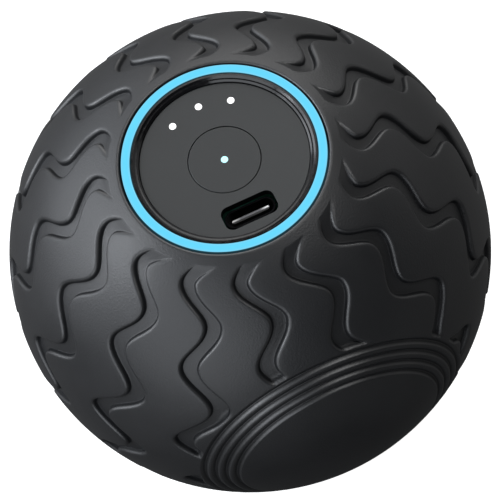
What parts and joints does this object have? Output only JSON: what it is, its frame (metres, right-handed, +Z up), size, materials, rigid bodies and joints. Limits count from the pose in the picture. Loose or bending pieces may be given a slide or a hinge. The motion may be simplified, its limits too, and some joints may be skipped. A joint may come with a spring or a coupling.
{
  "type": "massage ball",
  "caption": "Cordless vibrating massage ball with a wavy-grooved silicone skin, a smooth side pad, a lit control panel, a push button and a charging port.",
  "frame": {"origin": "the middle of the small flat the ball stands on, straight below its centre", "axes": "+Z up through the centre of the control panel, -Y towards the smooth side pad and the charging port's side of the panel, X along the vibration motor's shaft"},
  "size_m": [0.086, 0.086, 0.082],
  "materials": {
    "silicone": "matte moulded silicone",
    "shell_plastic": "fine moulded texture",
    "frame_plastic": "natural glass-filled nylon",
    "bush_rubber": "soft moulded rubber",
    "screw_steel": "zinc plated",
    "can_steel": "drawn and plated",
    "cap_plastic": "moulded",
    "bearing_bronze": "sintered",
    "ferrite": "ground",
    "brush_brass": "pressed strip",
    "shaft_steel": "ground",
    "core_steel": "stacked laminations",
    "copper": "enamelled wire",
    "weight_alloy": "sintered",
    "cell_wrap": "printed shrink sleeve",
    "nickel": "strip",
    "foam": "closed-cell foam",
    "wire_red": "insulated wire",
    "wire_white": "insulated wire",
    "board": "solder mask",
    "socket_nylon": "moulded nylon",
    "chip_black": "moulded package",
    "led_white": "moulded package",
    "port_steel": "dark plated",
    "port_core": "moulded",
    "switch_black": "moulded",
    "switch_brown": "moulded",
    "panel_plastic": "soft-touch coating",
    "button_plastic": "soft-touch coating",
    "bezel_plastic": "satin moulded",
    "dot_white": "clear light pipe",
    "dot_cyan": "clear light pipe",
    "light_cyan": "diffusing, lit from below",
    "spring_steel": "drawn wire"
  },
  "bodies": {
    "ball": {"tread_skin": "silicone", "upper_shell": "shell_plastic", "lower_shell": "shell_plastic", "shell_screws": "screw_steel", "chassis": "frame_plastic", "chassis_screws": "screw_steel", "motor_clamp": "frame_plastic", "clamp_screws": "screw_steel", "motor_bush_left": "bush_rubber", "motor_bush_right": "bush_rubber", "motor_can": "can_steel", "motor_end_cap": "cap_plastic", "motor_bearings": "bearing_bronze", "motor_magnets": "ferrite", "motor_brushes": "brush_brass", "battery_cell_front": "cell_wrap", "battery_cell_rear": "cell_wrap", "battery_tabs": "nickel", "battery_pads": "foam", "battery_leads": "wire_red", "motor_leads": "wire_white", "main_board": "board", "board_screws": "screw_steel", "board_sockets": "socket_nylon", "board_chips": "chip_black", "ring_leds": "led_white", "indicator_leds": "led_white", "usb_shell": "port_steel", "usb_core": "port_core", "tact_switch": "switch_black", "level_light_pipes": "dot_white", "button_springs": "spring_steel", "control_panel": "panel_plastic", "bezel_ring": "bezel_plastic", "light_ring": "light_cyan"},
    "power_button": {"power_button": "button_plastic", "power_light_pipe": "dot_cyan"},
    "switch_plunger": {"tact_plunger": "switch_brown"},
    "rotor": {"motor_shaft": "shaft_steel", "rotor_core": "core_steel", "rotor_windings": "copper", "commutator": "copper", "eccentric_weight_left": "weight_alloy", "eccentric_weight_right": "weight_alloy", "weight_set_screws": "screw_steel"}
  },
  "joints": [
    {"name": "power_button_press", "type": "slide", "parent": "ball", "child": "power_button", "axis": [0, 0, -1], "range_m": [0, 0.0003], "stiffness_N_per_m": 100, "springref_m": -0.0008, "deforming": ["button_springs"]},
    {"name": "switch_plunger_press", "type": "slide", "parent": "ball", "child": "switch_plunger", "axis": [0, 0, -1], "range_m": [0, 0.0003]},
    {"name": "rotor_spin", "type": "hinge", "parent": "ball", "child": "rotor", "pos_m": [0, 0, 0.04281], "axis": [1, 0, 0], "continuous": true}
  ],
  "couplings": [
    {"joint": "switch_plunger_press", "follows": "power_button_press", "ratio": 1}
  ]
}
